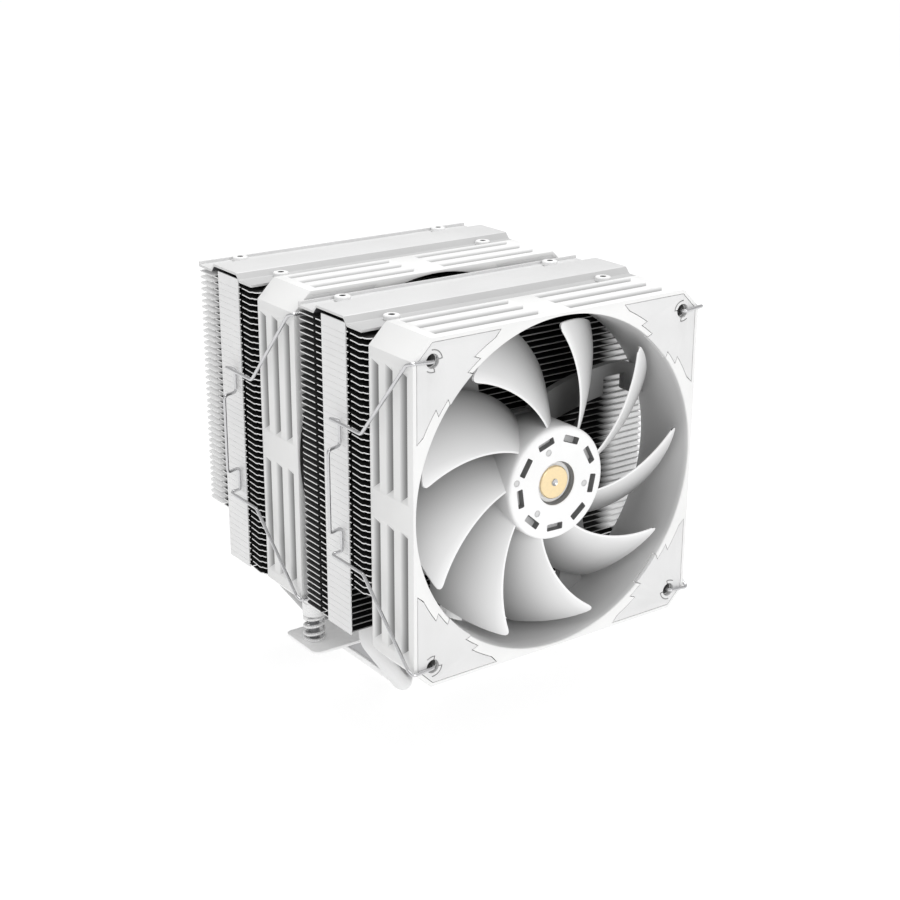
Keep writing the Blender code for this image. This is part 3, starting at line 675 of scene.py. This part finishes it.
def pads(tag, y):
    """Four corner pads, each with two curved grooves round its hole."""
    for where, sx, sz in CORNERS:
        bm = bmesh.new()
        prism(bm, flip(pad_edge(), sx, sz), 0.0, PAD_DEPTH)
        mesh = to_mesh(bm, 2)
        bm = bmesh.new()
        prism(bm, disc(2.45, 28, sx * HOLES, sz * HOLES), -5.0, 5.0)
        mesh = carve(mesh, bm)
        bm = bmesh.new()
        for groove in (pad_groove(5, 1, 15), pad_groove(-75, -1, 9)):
            # groove walls take the grey crease tone, painted shade
            prism(bm, flip(groove, sx, sz), -1.0, 0.55, mat=1)
        mesh = soften(carve(mesh, bm), 0.12)
        piece("%s_pad_%s" % (tag, where), mesh, ("pad", "crease"), "cooler",
              ["%s_fan_pad_%s" % (tag, where)], (0, y, FAN_Z))


# ---------------------------------------------------------------------- rotor
# turn of a blade's leading edge in degrees, as a curve of the radius
SWEEP = np.polyfit((19.0, 22.8, 29.2, 39.2, 47.8, TIP_R), (0.0, 3.1, 10.7, 19.2, 26.4, 33.0), 3)


def blade_point(r, s, side):
    """Point on a blade's skin: s from the leading edge to the trailing edge."""
    t = (r - HUB_R) / (TIP_R - HUB_R)
    span = 37.0 - 8.0 * t
    depth = 16.0 - 0.5 * t
    y = 4.0 - 1.5 * t + depth * (s - 0.35 * s * (1 - s))
    half = 0.18 + 0.62 * math.sqrt(max(0.0, s * (1 - s))) * (1.1 - 0.4 * t)
    a = math.radians(float(np.polyval(SWEEP, r)) - span * s)
    pitch = math.atan2(depth, r * math.radians(span))
    a += side * half * math.sin(pitch) / r
    y += side * half * math.cos(pitch)
    return Vector((r * math.cos(a), y, r * math.sin(a)))


def blade(bm, turn):
    """One thin swept blade, its tip corners rounded and its root in the hub."""
    spin = Matrix.Rotation(-turn, 3, "Y")
    radial, chord = 26, 18      # steps along and across the blade
    root = 19.2
    rings = []
    for i in range(radial + 1):
        u = i / radial
        upper, lower = [], []
        for j in range(chord + 1):
            s = 0.5 - 0.5 * math.cos(math.pi * j / chord)
            edge = max(0.0, 1 - s / 0.10, (s - 0.94) / 0.06)
            tip = TIP_R - 2.4 * (1 - math.sqrt(max(0.0, 1 - edge * edge)))
            r = root + (tip - root) * u
            upper.append(spin @ blade_point(r, s, 1))
            lower.append(spin @ blade_point(r, s, -1))
        rings.append(upper + lower[::-1])
    # the leading edge faces take the bright rim, a painted highlight
    edge = (0, 2 * chord - 1, 2 * chord, 2 * chord + 1)
    loft(bm, rings, mat=lambda k, i: 3 if i in edge else 2)


def hub_mesh():
    """Cup with a rounded rim, a stepped recess, nine slots and small ring marks."""
    profile = [(0.0, 3.9), (6.1, 3.9), (6.1, 4.2), (7.1, 4.2), (7.2, 4.1), (7.25, 3.0),
               (7.6, 2.9), (7.75, 2.0), (7.95, 1.8), (18.7, 1.8), (19.3, 1.9), (19.75, 2.2),
               (20.0, 2.65), (HUB_R, 3.2), (HUB_R, 20.2), (19.8, 20.5), (18.9, 20.5),
               (18.7, 20.2), (18.7, 5.6), (0.0, 5.6)]
    bm = bmesh.new()
    # the recess round the disc takes the dark well and slot tones, painted shade; the cup's side
    # takes the blades' tone, darker towards the rear as painted shade
    turned(bm, profile, 108, mats=[0, 0, 0, 0, 5, 5, 1] + [0] * 6 + [2] + [0] * 5)
    mesh = to_mesh(bm, 6)
    bm = bmesh.new()
    for k in range(BLADES):
        a = math.radians(28.3 + 360 / BLADES * k)       # one slot for each blade
        pts = [((15.65 + u) * math.cos(a) - w * math.sin(a),
                (15.65 + u) * math.sin(a) + w * math.cos(a))
               for u, w in rounded(0.85, 2.95, 0.4, 3)]
        # slot walls dark and floors mid grey, painted shade
        for face in prism(bm, pts, 0.0, 4.4, mat=1)[:2]:
            face.material_index = 4
    mesh = carve(mesh, bm)
    bm = bmesh.new()
    for r, a in ((12.3, 108.3), (12.3, -11.7), (12.3, -131.7), (17.6, 168.0)):
        x, z = polar(r, a)
        mark = bmesh.new()
        turned(mark, [(0.0, 1.0), (1.25, 1.0), (1.25, 1.93), (1.02, 1.93), (1.0, 2.05),
                      (0.8, 2.05), (0.78, 1.9), (0.0, 1.9)], 24, mats=[4] * 7)
        bmesh.ops.translate(mark, verts=mark.verts[:], vec=(x, 0.0, z))
        bm.from_mesh(to_mesh(mark, 6))
    return carve(mesh, bm)


def rotor(tag, y):
    """Hub and blades, the gold disc, the spindle, and the motor core that stays still."""
    bm = bmesh.new()
    bm.from_mesh(hub_mesh())
    blades = bmesh.new()
    for k in range(BLADES):
        blade(blades, math.radians(138 + 360 / BLADES * k))
    bm.from_mesh(to_mesh(blades, 6))
    mesh = bpy.data.meshes.new("rotor")
    bm.to_mesh(mesh)
    bm.free()
    body = tag + "_rotor"
    piece(tag + "_rotor_shell", mesh, ("hub", "slot", "blade", "rim", "mark", "well"), body,
          [tag + "_fan_rotor"], (0, y, FAN_Z))
    bm = bmesh.new()
    turned(bm, [(0.0, 3.35), (0.5, 3.2), (1.0, 2.95), (1.25, 2.8), (1.3, 3.0), (5.6, 3.0),
                (5.85, 3.2), (5.85, 3.85), (0.0, 3.85)], 64, mats=[1, 1, 1, 1, 0, 0, 0, 0])
    piece(tag + "_gold_disc", bm, ("gold", "steel"), body, [tag + "_fan_hub_cap"],
          (0, y, FAN_Z))
    bm = bmesh.new()
    turned(bm, [(0.0, 5.7), (1.3, 5.7), (1.5, 5.9), (1.5, 20.7), (0.0, 20.9)], 32)
    piece(tag + "_spindle", bm, ("steel",), body, [tag + "_fan_shaft"],
          (0, y, FAN_Z))
    bm = bmesh.new()
    turned(bm, [(2.0, 7.0), (16.8, 7.0), (17.2, 7.4), (17.2, 18.6), (16.8, 19.0), (11.0, 20.9),
                (2.0, 20.9)], 48, ring=True)
    piece(tag + "_motor_core", bm, ("dark",), "cooler", [tag + "_fan_stator"],
          (0, y, FAN_Z))


# ---------------------------------------------------------------------- clips
def clip(tag, side_name, side, y):
    """Hooked wire: end in the frame's hole, long runs, two catches, a pull loop."""
    half = [(52.5, 2.0, 52.5), (52.5, -0.95, 52.5), (61.0, -0.95, 53.2), (61.3, 1.8, 52.1),
            (64.6, 22.9, 24.5), (64.4, 43.3, 24.5), (61.3, 41.2, 23.4), (61.3, 41.2, 14.8),
            (67.2, 39.1, 14.8)]
    full = half + [(x, yy, -z) for x, yy, z in half[::-1]]
    radii = [1.1, 1.2, 1.4, 2.2, 1.1, 1.1, 1.3, 1.3]
    path = fillet(full, radii + radii[::-1])
    bm = bmesh.new()
    tube(bm, [(p.x * side, p.y, p.z) for p in path], CLIP_R)
    piece("%s_wire_%s" % (tag, side_name), bm, ("wire",), "%s_clip_%s" % (tag, side_name),
          ["%s_fan_clip_%s" % (tag, side_name)], (0, y, FAN_Z), 60)


# ------------------------------------------------------------------ fin stack
def fin_half(low, cut_front):
    """Half outline of a fin from its front edge round to the rear, as (x, y)."""
    pts = []
    if low and cut_front:
        pts += [(SIDE - 0.3, BAND0)]
    else:
        pts += [(57.9, 0.0), (58.9, 0.25), (59.7, 0.85), (60.1, 1.6), (60.15, 2.5),
                (60.75, 2.9), (60.95, 3.7), (60.7, 6.2), (60.45, 9.7), (57.9, 9.9),
                (57.9, 11.0), (SIDE, 11.1), (SIDE, BAND0 + 0.1), (SIDE - 0.3, BAND0 + 0.1)]
    if low and not cut_front:
        pts += [(SIDE - 0.3, BAND1)]
    else:
        pts += [(SIDE - 0.3, BAND1 - 0.1), (SIDE, BAND1 - 0.1), (SIDE, 31.3), (57.9, 31.5),
                (57.9, 32.6), (SIDE, 32.8), (SIDE, 41.3), (59.9, 42.5), (59.1, 43.25),
                (58.0, 43.5)]
    return pts


def wall_edge(side):
    """Outline of a folded side wall, with a shallow crease between each two fins."""
    profile = [(SIDE - 0.45, WALL_Z0), (SIDE, WALL_Z0)]
    for k in range(1, FINS):
        z = FIN_Z0 + (k - 0.5) * PITCH
        profile += [(SIDE, z - 0.09), (SIDE - 0.13, z), (SIDE, z + 0.09)]
    profile += [(SIDE, WALL_Z1), (SIDE - 0.45, WALL_Z1)]
    return [(x * side, z) for x, z in profile]


def fins(tag, y0, cut_front):
    """Flat fins and the two walls that join them."""
    bm = bmesh.new()
    for k in range(FINS):
        z = FIN_Z0 + k * PITCH
        half = fin_half(k < LOW, cut_front)
        pts = [(x, y0 + y) for x, y in half] + [(-x, y0 + y) for x, y in half[::-1]]
        faces = prism(bm, pts, z - FIN_T / 2, z + FIN_T / 2, "Z")
        # the flat faces take the near-black painted shade, with painted light at its lit patches
        for face in faces[:2]:
            face.material_index = 1
        for face, a, b in zip(faces[2:], pts, pts[1:] + pts[:1]):
            # the insides of the side notches take the same near-black painted shade as the fins'
            # faces
            near, far = sorted((a[1] - y0, b[1] - y0))
            if min(abs(a[0]), abs(b[0])) < 58 and near > 5 and far < 35:
                face.material_index = 1
        # the front edge takes the front-edge tone: painted shade, with painted light at the right
        faces[-1].material_index = 3
    for side in (-1, 1):
        prism(bm, wall_edge(side), y0 + BAND0, y0 + BAND1, "Y", 2)
    piece(tag + "_fins", bm, ("edge", "leaf", "band", "face"), "cooler", [tag + "_fin_stack"],
          angle=0)


def cover(tag, y0):
    """Folded sheet: low flanges, rounded bends and a raised middle, with screws."""
    low, high, sheet = 153.3, 155.6, 0.9
    upper = fillet([(0, 2.8, low), (0, 11.3, low), (0, 13.4, high), (0, 30.4, high),
                    (0, 32.4, low), (0, 41.4, low), (0, 41.4, low + 1.1)],
                   (0.9, 0.9, 0.9, 0.9, 0.3), 4)
    lower = fillet([(0, 2.8, low - sheet), (0, 11.6, low - sheet), (0, 13.6, high - sheet),
                    (0, 30.2, high - sheet), (0, 32.2, low - sheet), (0, 42.1, low - sheet),
                    (0, 42.1, low + 1.1)], (0.9, 0.9, 0.9, 0.9, 0.4), 4)
    bm = bmesh.new()
    pts = [(y0 + q.y, q.z) for q in lower] + [(y0 + q.y, q.z) for q in upper[::-1]]
    for i, face in enumerate(prism(bm, pts, -60.5, 60.5, "X")[2:]):
        # the cover's underside takes the near-black socket tone, painted shade under the sheet
        if i < len(lower) - 3:
            face.material_index = 1
        # the front flange and slope take the darker fold tone, painted shade
        elif face.calc_center_median().y - y0 < 13.3:
            face.material_index = 2
    mesh = to_mesh(bm, 3)
    bm = bmesh.new()
    spots = [(sx * 45.2, y0 + 23.3 + sy * 15.0) for sy in (-1, 1) for sx in (-1, 1)]
    for x, y in spots:
        prism(bm, disc(1.5, 20, x, y), low - 5, low + 5, "Z")
    mesh = soften(carve(mesh, bm), 0.12, 50)
    piece(tag + "_top_cover", mesh, ("cover", "socket", "fold"), "cooler", [tag + "_cover"])
    head = [(0.0, -1.0), (1.2, -1.0), (1.2, 0.05), (2.75, 0.05), (2.85, 0.2), (2.85, 1.35),
            (2.6, 1.65), (1.25, 1.75), (1.15, 1.65), (1.15, 0.5), (0.0, 0.4)]
    for k, (x, y) in enumerate(spots):
        bm = bmesh.new()
        turned(bm, [(r, low + z) for r, z in head], 36, "Z", mats=[0] * 8 + [1, 1])
        piece("%s_top_screw_%d" % (tag, k + 1), bm, ("head", "socket"), "cooler",
              ["%s_cover_screw_%d" % (tag, k + 1)], (x, y, 0))


# ----------------------------------------------------------------- pipes, base
def pipe(side_name, side, k):
    """Heat pipe from one tower down through the base and up into the other."""
    base, tower = PIPE_BASE[k], PIPE_TOWER[k]
    yf, yr = (y0 + PIPE_Y for _, y0, _ in TOWERS)
    # each pipe has spread part of its way to the tower where it leaves the base's level
    front, rear = base + (tower - base) * 0.36, base + (tower - base) * 0.20
    pts = [(tower, yf, PIPE_TOP), (tower, yf, 33.0), (front, yf + 5.0, PIPE_Z + 1.0),
           (base, -20.0, PIPE_Z), (base, 16.5, PIPE_Z), (rear, yr - 4.0, PIPE_Z),
           (tower, yr, 38.5), (tower, yr, PIPE_TOP)]
    path = fillet([(x * side, y, z) for x, y, z in pts], (11, 9, 8, 8, 9, 12), 8)
    bm = bmesh.new()
    tube(bm, path, PIPE_R, 24, 0.5)
    piece("pipe_%s_%d" % (side_name, k + 1), bm, ("pipe",), "cooler",
          ["heat_pipe_%s_%d" % (side_name, k + 1)], angle=60)


def base():
    """Contact plate, and the block over it with a channel for each pipe."""
    x, y, top = 24.6, 19.0, 2.4
    bm = bmesh.new()
    prism(bm, [(-x, -y), (x, -y), (x, y), (-x, y)], 0.0, top, "Z")
    piece("contact_plate", soften(to_mesh(bm, 1), 0.25), ("plate",), "cooler",
          ["cold_plate"])
    x, y, low, top, channel = 24.0, 16.0, 2.7, 16.0, PIPE_R + 0.3
    pts = [(-x, low)]
    for cx in sorted([-v for v in PIPE_BASE] + list(PIPE_BASE)):
        arch = [math.pi * (1 - q / 12) for q in range(13)]
        pts += ([(cx - channel, low)]
                + [(cx + channel * math.cos(a), PIPE_Z + channel * math.sin(a)) for a in arch]
                + [(cx + channel, low)])
    pts += [(x, low), (x, top - 0.6), (x - 0.6, top), (0.6 - x, top), (-x, top - 0.6)]
    bm = bmesh.new()
    prism(bm, pts, -y, y, "Y")
    piece("pipe_block", bm, ("block",), "cooler", ["base_block"])


def bar():
    """Mounting bar across the base, and the two screws that hold it down."""
    bm = bmesh.new()
    prism(bm, rounded(50.4, 8.6, 2.6, 10), BAR_Z0, BAR_Z1, "Z")
    mesh = to_mesh(bm, 1)
    bm = bmesh.new()
    for _, side in SIDES:
        prism(bm, disc(2.3, 28, side * SCREW_X), 0.0, 30.0, "Z")
        prism(bm, disc(1.8, 20, side * FIXING_X), 0.0, 30.0, "Z")
    mesh = soften(carve(mesh, bm), 0.2)
    piece("cross_bar", mesh, ("bar",), "cooler", ["mounting_bar"])
    for name, side in SIDES:
        bm = bmesh.new()
        turned(bm, [(0.0, 11.2), (1.5, 11.2), (1.5, 17.8), (3.0, 17.8), (3.05, 18.5), (2.6, 19.2),
                    (1.5, 19.5), (1.1, 19.4), (1.0, 18.4), (0.0, 18.3)], 32, "Z",
               mats=[0] * 7 + [1, 1])
        piece("bar_fixing_" + name, bm, ("screw", "socket"), "cooler", ["bar_screw_" + name],
              (side * FIXING_X, 0, 0))


def coil_path():
    """Spring's centre line between bar and head: closed turns at both ends."""
    turns, n, flat, r, low, high = 4.55, 170, 0.75, 3.6, 18.18, 27.12
    path = []
    for i in range(n + 1):
        q = turns * i / n
        rise = min(1.0, max(0.0, (q - flat) / (turns - 2 * flat)))
        rise = rise * rise * (3 - 2 * rise) * 0.25 + rise * 0.75
        a = 2 * math.pi * q
        path.append((r * math.cos(a), r * math.sin(a), low + (high - low) * rise))
    return path


def captive(name, side):
    """Sprung screw: slotted head, coil above the bar, ring under it."""
    at = (side * SCREW_X, 0, 0)
    bm = bmesh.new()
    profile = [(0.0, 13.7), (1.5, 13.7), (1.9, 14.0), (1.9, 14.7), (1.3, 14.8), (1.3, 16.0),
               (1.9, 16.1), (1.9, 27.8), (4.0, 27.8), (4.3, 28.1), (4.3, 32.9), (3.9, 33.5),
               (2.3, 33.5), (2.2, 33.3), (2.1, 31.0), (0.0, 30.8)]
    # the shank inside the coil takes the dark shank tone, painted shade
    turned(bm, profile, 40, "Z", mats=[0] * 6 + [2, 0] + [0] * 5 + [1, 1])
    piece("captive_screw_" + name, bm, ("screw", "socket", "shank"), name + "_screw",
          ["spring_screw_" + name], at)
    bm = bmesh.new()
    turned(bm, [(1.6, 15.1), (3.0, 15.1), (3.1, 15.2), (3.1, 15.6), (3.0, 15.7), (1.6, 15.7)], 32,
           "Z", ring=True)
    piece("retaining_ring_" + name, bm, ("screw",), name + "_screw_ring",
          ["screw_ring_" + name], at)
    bm = bmesh.new()
    tube(bm, coil_path(), 0.64, 10)
    coil = piece("coil_" + name, bm, ("coil",), "cooler", ["screw_spring_" + name],
                 at, 60)
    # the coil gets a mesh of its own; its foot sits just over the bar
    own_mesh(coil)


# ---------------------------------------------------------------------- stage
def camera():
    """The camera: where it stands, and its heading, tilt and roll in degrees."""
    at, heading, tilt, roll = (-0.33045, -0.48137, 0.29303), -35.75, 70.24, 0.18
    data = bpy.data.cameras.new("view")
    data.lens, data.sensor_width, data.clip_start = 65.33, 36.0, 0.01
    obj = linked("view", data)
    turn = (Matrix.Rotation(math.radians(heading), 4, "Z")
            @ Matrix.Rotation(math.radians(tilt), 4, "X")
            @ Matrix.Rotation(math.radians(roll), 4, "Z"))
    obj.matrix_world = Matrix.Translation(at) @ turn
    bpy.context.scene.camera = obj


def lamp(name, energy, at, target, size):
    """Round soft lamp shining at a point."""
    data = bpy.data.lights.new(name, "AREA")
    data.energy, data.shape, data.size = energy, "DISK", size
    obj = linked(name, data)
    obj.location = at
    obj.rotation_mode = "QUATERNION"
    obj.rotation_quaternion = (Vector(target) - Vector(at)).to_track_quat("-Z", "Y")


def floor():
    """Wide pale sheet that glows a little, like a light table."""
    bm = bmesh.new()
    bmesh.ops.create_circle(bm, cap_ends=True, segments=96, radius=8.0)
    mesh = bpy.data.meshes.new("floor")
    bm.to_mesh(mesh)
    bm.free()
    mat, tree, shader = nodes_of("floor_paper")
    tree.links.new(between(tree, blotch(tree, 6, 2.0), (0.18, 0.18, 0.18), (0.20, 0.20, 0.20)),
                   shader.inputs["Base Color"])
    shader.inputs["Roughness"].default_value = 0.9
    shader.inputs["Emission Color"].default_value = (1.0, 1.0, 1.0, 1.0)
    shader.inputs["Emission Strength"].default_value = 0.88
    mesh.materials.append(mat)
    linked("floor", mesh)


def stage():
    """White surroundings, a front and a top lamp, and the floor."""
    scene = bpy.context.scene
    scene.view_settings.view_transform = "Standard"
    world = bpy.data.worlds.new("studio")
    scene.world = world
    world.use_nodes = True
    sky = world.node_tree.nodes["Background"]
    sky.inputs["Color"].default_value = (1.0, 1.0, 1.0, 1.0)
    sky.inputs["Strength"].default_value = 0.54
    lamp("key", 6.4, (-0.16, -1.5, 0.6), (0, 0, 0.09), 0.9)
    lamp("top", 14.0, (0.15, 0.2, 1.5), (0, 0, 0.1), 1.0)
    floor()


def main():
    camera()
    stage()
    for tag, y in FANS:
        fan_frame(tag, y)
        pads(tag, y)
        rotor(tag, y)
        for side_name, side in SIDES:
            clip(tag, side_name, side, y)
    for tag, y0, cut_front in TOWERS:
        fins(tag, y0, cut_front)
        cover(tag, y0)
    for k in range(len(PIPE_BASE)):
        for side_name, side in SIDES:
            pipe(side_name, side, k)
    base()
    bar()
    for name, side in SIDES:
        captive(name, side)


main()
